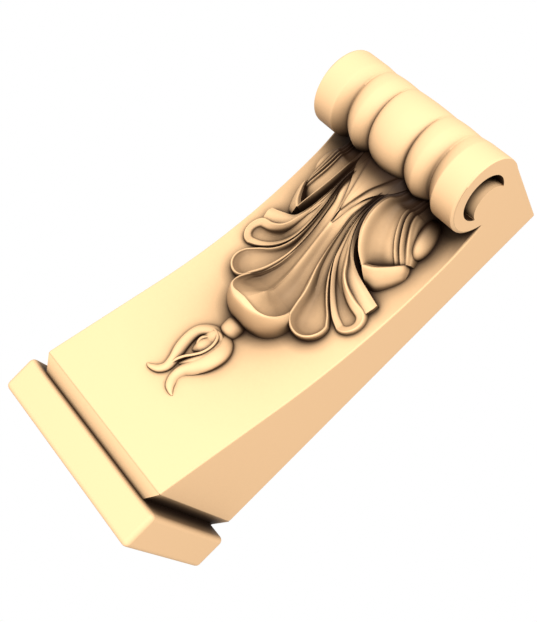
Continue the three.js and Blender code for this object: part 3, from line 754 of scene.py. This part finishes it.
# %%
# Tip of the second leaf
def make_tip():
    half = [
        [(0, 24, 267.3), (0, 28.4, 246), (0, 29.6, 237), (0, 29.8, 230), (0, 29.4, 223),
         (0, 28.6, 217)],
        [(8, 23, 267.3), (4.4, 28, 246), (2.6, 29.4, 237), (1.6, 29.6, 230), (0.8, 29.3, 223),
         (0.2, 28.5, 216.9)],
        [(15.9, 21.3, 267.3), (8.4, 27.5, 246), (5, 29.5, 237), (3, 29.7, 230), (1.5, 29.4, 223),
         (0.3, 28.5, 216.6)],
        [(16.6, 21.4, 267.3), (9, 27.7, 246), (5.5, 29.8, 237), (3.4, 30, 230),
         (1.8, 29.7, 222.8), (0.4, 28.8, 216.2)],
        [(16.9, 20.2, 267.3), (9.4, 26.5, 246), (5.9, 28.6, 237), (3.8, 28.8, 230),
         (2.1, 28.6, 222.4), (0.5, 27.7, 215.6)],
        [(19.4, 19, 267.3), (12.4, 26.2, 246), (8, 28.5, 237), (5.2, 28.9, 230),
         (2.9, 28.2, 221.6), (0.6, 27, 213)],
        [(24, 15.6, 267.3), (17.4, 24.4, 246), (11.2, 28, 237), (7, 28.6, 230),
         (3.8, 27.2, 220.4), (0.7, 25, 207.6)],
        [(24.6, 9, 267.3), (18.4, 17, 246), (11.9, 21, 237), (7.4, 22, 230), (4, 22, 220),
         (0.8, 20, 206.6)],
    ]
    return carved("tip", skin(half, steps=44, across=4, sharp=(2, 3, 4, 6)))


tip = both_sides(make_tip())

# %% [markdown]
# Side lobes
# Beside the blade the leaf rolls over into a cup on each side. Its rim stands clear of the blade,
# the dish is crossed by two ribs, the lower lip folds outwards and a bead sits behind the ribs.


# %%
# Bead
EGG_RINGS, EGG_SIDES = 32, 48


def egg(name, size, at, lean=0, fullness=1):
    """A smooth bead by its half sizes, its top leaning to -X by some degrees. A fullness of 1 is
    an egg, and a smaller one comes nearer to a barrel."""
    shape = bmesh.new()
    bmesh.ops.create_uvsphere(shape, u_segments=EGG_SIDES, v_segments=EGG_RINGS, radius=1)
    for v in shape.verts:
        ring = max(math.hypot(v.co.x, v.co.y), TINY)
        swell = ring**fullness / ring
        v.co = (v.co.x * swell, v.co.y * swell, math.copysign(abs(v.co.z) ** fullness, v.co.z))
    place = on_front(np.array([at]))[0]
    matrix = (Matrix.Translation(place) @ Matrix.Rotation(-math.radians(lean), 4, "Y")
              @ Matrix.Diagonal((*size, 1)))
    bmesh.ops.transform(shape, matrix=matrix, verts=shape.verts)
    shape.verts.index_update()
    points = [tuple(v.co) for v in shape.verts]
    faces = [tuple(v.index for v in face.verts) for face in shape.faces]
    shape.free()
    return solid(name, points, faces)


bead = egg("bead", (6, 9.4, 13.6), (41.8, 4.6, 238.4), lean=14)


# %%
# Dish with its ribs, and the folded lip
def make_dish():
    """The cup, from its inner rim across the hollow and the two ribs to the block."""
    return carved("dish", skin([
        [(22, -3, 267.3), (17.5, -3, 247), (15.4, -3, 239), (15, -3, 231), (15.8, -3, 223),
         (18.8, -3, 213), (23.6, -3, 205.6), (28.6, -3, 200)],
        [(22.6, 14, 267.3), (19, 20, 247), (16.9, 26, 239.6), (16.2, 28.4, 232),
         (17, 28.4, 223.6), (19.6, 26, 214.4), (24.4, 20.6, 206.4), (29.6, 13.6, 201)],
        [(23.4, 17, 267.3), (20.2, 23, 247), (17.7, 28.4, 240), (17.1, 30.6, 232.6),
         (17.8, 30.7, 224.4), (20.4, 28.6, 215.4), (25, 23.2, 207), (30.3, 16, 201.8)],
        [(24.6, 16.6, 267.3), (21.6, 22.4, 247), (19.2, 27.4, 240.2), (18.7, 29.2, 233),
         (19.4, 29.2, 225), (22, 26.8, 216.2), (26.2, 21.4, 208.2), (31, 14.6, 203)],
        [(26, 14.4, 267.3), (23.4, 19.6, 247), (21.2, 23.6, 240.4), (20.9, 24.4, 233.4),
         (21.8, 23.6, 225.8), (24.2, 21, 217.4), (28, 16, 210), (32, 10.6, 205.2)],
        [(28, 13.4, 267.3), (26, 18.6, 247), (24.4, 22, 240.6), (24.4, 21.8, 234),
         (25.6, 20, 226.8), (28, 16.8, 219), (31.2, 12, 212.6), (34.6, 7.6, 208)],
        [(29.4, 13.5, 267.3), (28, 18.7, 247), (27.2, 22.2, 241), (27.4, 21.6, 235),
         (29.2, 19.4, 228), (32, 16.2, 221.4), (35.4, 11.8, 215.8), (38.6, 7.5, 211.6)],
        [(30.4, 13.6, 267.3), (29.4, 19, 247), (28.9, 22.6, 241.6), (29.3, 22.2, 236),
         (31.4, 19.4, 229.2), (34.4, 16, 223), (37.8, 11.6, 217.8), (40.8, 7.4, 214.2)],
        [(31.1, 14.6, 267.3), (30.1, 20.3, 247.1), (29.6, 24, 241.9), (30.1, 23.6, 236.4),
         (32.3, 20.8, 229.7), (35.4, 17.3, 223.6), (38.8, 13, 218.7), (41.7, 8.6, 215.2)],
        [(32.4, 13, 267.3), (31.6, 18.6, 247.2), (31.3, 21.8, 242.1), (31.9, 21.3, 236.8),
         (34.3, 18.3, 230.3), (37.2, 14.9, 224.6), (40.4, 11, 219.9), (43, 7, 216.4)],
        [(33.2, 14.4, 267.3), (32.6, 20.1, 247.3), (32.4, 23.3, 242.3), (33.1, 22.7, 237),
         (35.5, 19.7, 230.7), (38.4, 16.1, 225.1), (41.5, 12.1, 220.6), (43.9, 7.8, 217.2)],
        [(34.4, 12.2, 267.3), (34.1, 17.6, 247.4), (34.1, 20.4, 242.6), (34.9, 19.6, 237.5),
         (37.3, 16.4, 231.4), (40, 13, 226.2), (42.8, 9.4, 222), (44.7, 6, 218.7)],
        [(35.5, 13.4, 267.3), (35.5, 19, 247.6), (35.6, 21.7, 243), (36.5, 20.8, 238.1),
         (38.9, 17.4, 232.2), (41.4, 13.8, 227.4), (43.8, 10, 223.4), (45.5, 6.3, 220)],
        [(36.4, 12, 267.3), (36.6, 17.2, 247.8), (36.9, 19.6, 243.2), (37.9, 18.4, 238.5),
         (40.3, 14.9, 232.7), (42.6, 11.4, 228.2), (44.8, 7.8, 224.3), (46.2, 4.8, 220.8)],
        [(38, 8.4, 267.3), (38.4, 13.2, 247.8), (38.8, 15, 243.4), (39.8, 13.8, 238.8),
         (42.1, 10.4, 233), (44.1, 7.6, 228.8), (45.9, 5, 225), (47, 3.2, 221.6)],
        [(39, -3, 267.3), (39.6, -3, 247.8), (40.2, -3, 243.4), (41.2, -3, 239),
         (43.4, -3, 233.4), (45.2, -3, 229.4), (47, -3, 225.6), (48, -3, 222.2)],
    ], steps=60, across=4, sharp=(7, 9, 11)))


def make_fold():
    return carved("fold", skin([
        [(27, 0, 206), (33, 0, 208), (38, 0, 213), (42.4, 0, 220), (44, -1, 222)],
        [(28.8, 15.4, 203.2), (34.6, 12.6, 206.8), (40.2, 10.2, 212.6), (44.6, 7.6, 218.6),
         (45.6, 2, 220.6)],
        [(30.4, 16, 201.4), (35.8, 13.8, 205), (40.8, 11.4, 211), (45.2, 8.2, 217.4),
         (46.8, 2.4, 219.8)],
        [(32.2, 12.6, 199), (37.6, 11, 202.4), (42.4, 9.4, 208.8), (46.3, 7, 215.4),
         (48, 2, 218)],
        [(34.2, 8.4, 196.8), (39.4, 7.4, 199.8), (44, 6.4, 206.6), (47.2, 4.8, 213),
         (48.6, 1.4, 216)],
        [(35.4, 3.6, 195), (40.6, 3.4, 197.2), (45.2, 3, 204.4), (48, 2.2, 210.8),
         (49, 0.4, 214)],
        [(35.8, -2, 194), (41.2, -2, 195.8), (45.8, -2, 203.2), (48.6, -2, 209.8),
         (49.4, -2, 213.4)],
    ], steps=40, across=6, sharp=(1,)))


side_lobes = both_sides(make_dish(), make_fold(), bead)

# %% [markdown]
# Bud drop
# A pearl hangs from the lip, and below it a bud opens into two lobes with curling tips. A tendril
# coils inside it round a small disc. The lobes and the tendril are half-round ribbons that follow
# a route, swollen in the middle and drawn out to nothing at the tips.


# %%
# Half-round ribbons
RIBBON_SINK = 1
LEFT_HALF = 1.5    # radians round the section, just short of its middle
FADE_WIDTH = 0.3   # a faded side is wider by this share
FADE_RISE = 0.9    # and its edge comes up by this much, almost to the ground


def ribbon(name, route, steps, sides, rise=0.8, fade=(0, 0)):
    """A half-round ribbon along a route of (x, h, z, half width). Where the fade along the route
    is 1, the side that lies to the left of the way runs out softly into the ground."""
    path = along(route, steps)
    way = np.gradient(path[:, [0, 2]], axis=0)
    way /= np.hypot(way[:, 0], way[:, 1])[:, None]
    turn = np.linspace(0, np.pi, sides + 1)
    soft = smooth(np.array(fade, float), np.linspace(0, 1, len(path)))[:, None] * (turn < LEFT_HALF)
    side = -np.cos(turn)[None] * path[:, 3:] * (1 + FADE_WIDTH * soft)
    section = np.sin(turn)[None] * (1 - soft + soft * np.sin(turn)[None])
    lift = section * path[:, 3:] * rise + path[:, 1:2]
    lift[:, 0] = -RIBBON_SINK + FADE_RISE * soft[:, 0]
    lift[:, -1] = -RIBBON_SINK
    return carved(name, np.stack([path[:, :1] + way[:, 1:] * side, lift,
                                  path[:, 2:3] - way[:, :1] * side], -1))


# %%
# Lobes of the bud
left_lobe = ribbon("left_lobe", [
    (2, 0.4, 113.8, 3), (-6, 0.8, 113.2, 3.5), (-11.8, 0.8, 107.7, 3.8), (-12.4, 0.7, 101, 3.8),
    (-10, 0.5, 93.2, 3.9), (-6.2, 0.3, 86, 3.5), (-4.4, 0.2, 80, 3.2), (-6.6, 0, 75.4, 2.8),
    (-11.4, 0, 72.8, 1.6), (-14.2, 0, 72.6, 0.4),
], steps=70, sides=16, rise=0.72)
right_lobe = ribbon("right_lobe", [
    (-1, 0.4, 113.2, 3.6), (6, 0.8, 112, 4.8), (9.6, 1, 106.4, 6), (9.3, 0.8, 99, 6),
    (6.2, 0.4, 91.6, 4.8), (3.4, 0, 85, 3.6), (3.6, -0.3, 79, 3), (7, -0.2, 74.4, 2.8),
    (11.2, 0, 72, 1.4), (13.8, 0, 71.4, 0.4),
], steps=70, sides=20, rise=0.62, fade=(0, 0, 0, 0.2, 0.9, 1, 0.8, 0.2, 0, 0))

# %%
# Inside of the bud, and the pearl above it
curl = ribbon("curl", [
    (-9.6, 1.6, 112.6, 0.5), (-5, 3, 114, 0.9), (0, 3.8, 112.8, 1), (3, 4.1, 109, 1),
    (4, 4.1, 104.6, 1), (3.4, 3.9, 100, 1), (1.2, 3.6, 95.6, 1), (-1.8, 3.1, 91, 1),
    (-3.6, 2.4, 86.4, 1), (-3.8, 1.4, 81.6, 0.5),
], steps=60, sides=10)
disc = ribbon("disc", [
    (2.2, 0.4, 112.4, 1.4), (1.4, 0.6, 109.4, 3.6), (-0.6, 0.8, 105, 5), (-2.2, 0.8, 101, 4.4),
    (-3.4, 0.5, 98, 2.4), (-4, 0.3, 96.6, 1),
], steps=30, sides=14, rise=0.55)
hook = ribbon("hook", [
    (-1.4, 2.2, 110.2, 0.4), (-4, 2.2, 108.6, 0.9), (-6.2, 1.8, 105.4, 1.3), (-5.2, 1.5, 102, 1.3),
    (-2.2, 1.6, 100, 1.1), (1.6, 1.8, 100, 0.7),
], steps=36, sides=10)
seam = ribbon("seam", [
    (-5.4, 0.4, 113.6, 1.2), (0, 1, 113, 2.6), (4.4, 1.6, 110.4, 3.2), (6.4, 1.9, 105, 3.4),
    (5.8, 1.8, 99, 3.2), (3.4, 1.6, 94, 2.8), (0.6, 1, 89.4, 1.8), (-1.6, 0.2, 86, 0.8),
], steps=40, sides=12, rise=0.62)
plate = egg("plate", (7.4, 2.5, 8.6), (-1, 0, 106.8))
pearl = egg("pearl", (6.6, 6, 6.2), (0, 0.4, 121.4), fullness=0.6)
bud = [left_lobe, right_lobe, curl, disc, hook, seam, plate, pearl]

# %% [markdown]
# One carving
# All of it is one piece of material, so the solids are joined into one closed surface. Smooth
# shading stops at the crisp edges that a carver leaves, and large faces weigh more in it, so that
# the sawn sides look flat right up to their eased edges.


# %%
# Join the carving
CRISP_ANGLE = math.radians(38)


def make_corbel():
    corbel = join(block, [foot, slab, roll, *middle_lobe, *tip, *bud, *petals, *side_lobes])
    corbel = join(corbel, eyes, "DIFFERENCE")
    corbel.name = "carved_corbel"
    corbel.data.shade_smooth()
    corbel.data.set_sharp_from_angle(angle=CRISP_ANGLE)
    weights = corbel.modifiers.new("weights", "WEIGHTED_NORMAL")
    weights.keep_sharp = True
    corbel.data = applied(corbel)
    corbel.data.name = "carved_corbel"
    return corbel


carved_corbel = make_corbel()
print("carved corbel:", len(carved_corbel.data.polygons), "faces")

# %% [markdown]
# Finish and painted shade
# The corbel has one smooth cream finish, with shade painted into its colour. Painted shade gathers
# in
# the cuts of the carving: the colour deepens to warm brown where little sky reaches. That is
# measured at
# three reaches: across the whole carving, within a petal, and in the finest cuts. A painted shadow
# under the roll is measured from the roll's own axis, and the wall of the plug in each eye, which
# is near the open end, is kept bright with painted light.


# %%
# Masks of painted shade for the finish
WIDE_REACH, WIDE_POWER = 0.07, 2.6
NEAR_REACH, NEAR_POWER = 0.009, 1.7
FINE_REACH, FINE_POWER = 0.0025, 1.1
SHADE_SAMPLES = 16


def shade(nodes, links, reach, power):
    """A painted-shade mask that is 1 on open surface and falls to 0 in a cut, within a reach in
    metres.
    """
    occlusion = nodes.new("ShaderNodeAmbientOcclusion")
    occlusion.samples = SHADE_SAMPLES
    occlusion.inputs["Distance"].default_value = reach
    return calculate(nodes, links, "POWER", occlusion.outputs["AO"], power)


def axis_way(nodes, links, y_axis, z_axis):
    """The way to the shaded point from an axis along x, as direction and length in metres, with
    the point's distance from the middle and its height."""
    place, split = nodes.new("ShaderNodeTexCoord"), nodes.new("ShaderNodeSeparateXYZ")
    links.new(place.outputs["Object"], split.inputs[0])
    x, y, z = split.outputs
    offset = nodes.new("ShaderNodeCombineXYZ")
    links.new(calculate(nodes, links, "SUBTRACT", y, y_axis * MM), offset.inputs["Y"])
    links.new(calculate(nodes, links, "SUBTRACT", z, CAD_LOW.z + z_axis * MM), offset.inputs["Z"])
    length, way = nodes.new("ShaderNodeVectorMath"), nodes.new("ShaderNodeVectorMath")
    length.operation, way.operation = "LENGTH", "NORMALIZE"
    links.new(offset.outputs[0], length.inputs[0])
    links.new(offset.outputs[0], way.inputs[0])
    return way.outputs[0], length.outputs["Value"], calculate(nodes, links, "ABSOLUTE", x, 0), z


def ramp(nodes, links, value, low, high, at_low, at_high):
    """A smooth change from one value to another."""
    change = nodes.new("ShaderNodeMapRange")
    change.interpolation_type = "SMOOTHSTEP"
    for title, number in (("From Min", low), ("From Max", high), ("To Min", at_low),
                          ("To Max", at_high)):
        change.inputs[title].default_value = number
    links.new(value, change.inputs["Value"])
    return change.outputs["Result"]


# %%
# Painted shadow under the roll, and painted light in the eyes
# Reach and darkest value of the painted shadow under the roll
UNDER_REACH, UNDER_LIGHT = 24, 0.08
SURFACE = 0.4
ON_ROLL = 0.55
# Reach and strength of the painted light on the plug walls
PLUG_LIT, PLUG_LIGHT = 10, 0.62


def painted_roll_shadow(nodes, links):
    """A painted shadow under the roll: a mask that is 1 far from the roll and darkens towards it,
    and is 1 on the roll itself, where the surface looks away from the roll's axis."""
    way, length, across, height = axis_way(nodes, links, -ROLL_OVERHANG, ROLL_HEIGHT)
    light = ramp(nodes, links, length, ROLL_RADIUS * MM, (ROLL_RADIUS + UNDER_REACH) * MM,
                 UNDER_LIGHT, 1)
    surface, facing = nodes.new("ShaderNodeNewGeometry"), nodes.new("ShaderNodeVectorMath")
    facing.operation = "DOT_PRODUCT"
    links.new(way, facing.inputs[0])
    links.new(surface.outputs["Normal"], facing.inputs[1])
    off_roll = calculate(nodes, links, "LESS_THAN", facing.outputs["Value"], ON_ROLL)
    below = calculate(nodes, links, "LESS_THAN", height, CAD_LOW.z + NOTCH_HEIGHT * MM)
    between = calculate(nodes, links, "LESS_THAN", across, (HALF - BLOCK_EDGE - SURFACE) * MM)
    front = calculate(nodes, links, "MULTIPLY", below, between)
    here = calculate(nodes, links, "MULTIPLY", off_roll, front)
    darker = calculate(nodes, links, "SUBTRACT", 1, light)
    return calculate(nodes, links, "SUBTRACT", 1,
                     calculate(nodes, links, "MULTIPLY", here, darker))


def painted_plug_light(nodes, links):
    """A painted light: a mask that is bright on the wall of the plug in each eye, at its open end.
    """
    _, length, across, _ = axis_way(nodes, links, DISC_BACK - ROLL_OVERHANG,
                                    ROLL_HEIGHT + DISC_RISE)
    wall = calculate(nodes, links, "LESS_THAN", length, (DISC_RADIUS + SURFACE) * MM)
    light = ramp(nodes, links, across, (HALF - PLUG_LIT) * MM, HALF * MM, 0, PLUG_LIGHT)
    return calculate(nodes, links, "MULTIPLY", wall, light)


# %%
# Cream finish with painted shade and painted light
CREAM = (0.93, 0.593, 0.317, 1)
# SHADE is the warm near-black of painted shade, mixed in where the masks fall
SHADE = (0.02, 0.008, 0.003, 1)
ROUGHNESS, GLOSS = 0.6, 0.15


def fill_cream_and_painted_shade():
    """The nodes of the cream finish, with painted shade in the cuts and under the roll, and painted
    light on the plug walls.
    """
    cream.use_nodes = True
    nodes, links = cream.node_tree.nodes, cream.node_tree.links
    shader = nodes["Principled BSDF"]
    shader.inputs["Roughness"].default_value = ROUGHNESS
    shader.inputs["Specular IOR Level"].default_value = GLOSS
    wide = shade(nodes, links, WIDE_REACH, WIDE_POWER)
    near = shade(nodes, links, NEAR_REACH, NEAR_POWER)
    fine = shade(nodes, links, FINE_REACH, FINE_POWER)
    # Painted shade: the three occlusion masks, then the painted shadow under the roll, then the
    # painted light on the plug walls
    open_sky = calculate(nodes, links, "MULTIPLY", wide, near)
    open_sky = calculate(nodes, links, "MULTIPLY", open_sky, fine)
    lit = calculate(nodes, links, "MULTIPLY", open_sky, painted_roll_shadow(nodes, links))
    bright = calculate(nodes, links, "MAXIMUM", lit, painted_plug_light(nodes, links))
    mix = nodes.new("ShaderNodeMix")
    mix.data_type = "RGBA"
    mix.inputs["A"].default_value = SHADE
    mix.inputs["B"].default_value = CREAM
    links.new(bright, mix.inputs["Factor"])
    links.new(mix.outputs["Result"], shader.inputs["Base Color"])
    print("cream finish:", len(nodes), "nodes")


fill_cream_and_painted_shade()
carved_corbel.data.materials.clear()
carved_corbel.data.materials.append(cream)
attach(carved_corbel, "root")
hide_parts("corbel")

# %% [markdown]
# Studio
# A white sheet far below the corbel and a white sky give the plain ground of the picture. One
# soft lamp stands in front of the carving, to the right and a little above it.


# %%
# White ground
FLOOR_DROP = 0.6
FLOOR_HALF = 6
SKY_LIGHT = 0.62


def white_ground(tree, target):
    """White to the camera, and a softer white as light on the object."""
    path = tree.nodes.new("ShaderNodeLightPath")
    strength = tree.nodes.new("ShaderNodeMapRange")
    strength.inputs["To Min"].default_value = SKY_LIGHT
    strength.inputs["To Max"].default_value = 1
    tree.links.new(path.outputs["Is Camera Ray"], strength.inputs["Value"])
    tree.links.new(strength.outputs["Result"], target)


def make_floor():
    """A sheet that takes no light and gives its own white."""
    mesh = bpy.data.meshes.new("floor")
    z = CAD_LOW.z - FLOOR_DROP
    corners = [(-1, -1), (1, -1), (1, 1), (-1, 1)]
    mesh.from_pydata([(x * FLOOR_HALF, y * FLOOR_HALF, z) for x, y in corners], [], [(0, 1, 2, 3)])
    floor = bpy.data.objects.new("floor", mesh)
    bpy.context.scene.collection.objects.link(floor)
    material = bpy.data.materials.new("white_paper")
    material.use_nodes = True
    shader = material.node_tree.nodes["Principled BSDF"]
    shader.inputs["Base Color"].default_value = (0, 0, 0, 1)
    shader.inputs["Specular IOR Level"].default_value = 0
    shader.inputs["Emission Color"].default_value = (1, 1, 1, 1)
    white_ground(material.node_tree, shader.inputs["Emission Strength"])
    mesh.materials.append(material)


def make_sky():
    world = bpy.data.worlds.new("white_sky")
    world.use_nodes = True
    sky = world.node_tree.nodes["Background"]
    sky.inputs["Color"].default_value = (1, 1, 1, 1)
    white_ground(world.node_tree, sky.inputs["Strength"])
    bpy.context.scene.world = world


make_floor()
make_sky()
print("white floor", FLOOR_DROP, "m below the slab")


# %%
# Lamp
LAMP_PLACE = Vector((1.15, -3.3, 0.75))
LAMP_SIZE = 1.2
LAMP_POWER = 138


def make_lamp():
    """A square lamp that looks at the middle of the corbel."""
    lamp = bpy.data.lights.new("lamp", "AREA")
    lamp.size = LAMP_SIZE
    lamp.energy = LAMP_POWER
    holder = bpy.data.objects.new("lamp", lamp)
    holder.location = LAMP_PLACE
    holder.rotation_euler = (-LAMP_PLACE).to_track_quat("-Z", "Y").to_euler()
    bpy.context.scene.collection.objects.link(holder)


make_lamp()
print("lamp", round(LAMP_PLACE.length, 2), "m from the corbel")

# %% [markdown]
# Camera
# The camera looks at the carved front from its right side, a little above level, and is rolled
# by about an eighth of a turn, so that the corbel lies across the picture.

# %%
# Camera
CAMERA_PLACE = Vector((0.3076, -0.5733, CAD_LOW.z + 0.1593))
CAMERA_RIGHT = Vector((0.60508, 0.37258, 0.70361))
CAMERA_UP = Vector((-0.61744, -0.33834, 0.71013))
CAMERA_BACK = CAMERA_RIGHT.cross(CAMERA_UP)
LENS = 58.25
SENSOR_WIDTH = 36
camera_data = bpy.data.cameras.new("camera")
camera_data.lens = LENS
camera_data.sensor_width = SENSOR_WIDTH
camera = bpy.data.objects.new("camera", camera_data)
camera.matrix_world = Matrix((
    (CAMERA_RIGHT.x, CAMERA_UP.x, CAMERA_BACK.x, CAMERA_PLACE.x),
    (CAMERA_RIGHT.y, CAMERA_UP.y, CAMERA_BACK.y, CAMERA_PLACE.y),
    (CAMERA_RIGHT.z, CAMERA_UP.z, CAMERA_BACK.z, CAMERA_PLACE.z),
    (0, 0, 0, 1),
))
bpy.context.scene.collection.objects.link(camera)
bpy.context.scene.camera = camera
bpy.context.scene.view_settings.view_transform = "Standard"
print("camera", round(CAMERA_PLACE.length, 2), "m from the middle of the back")
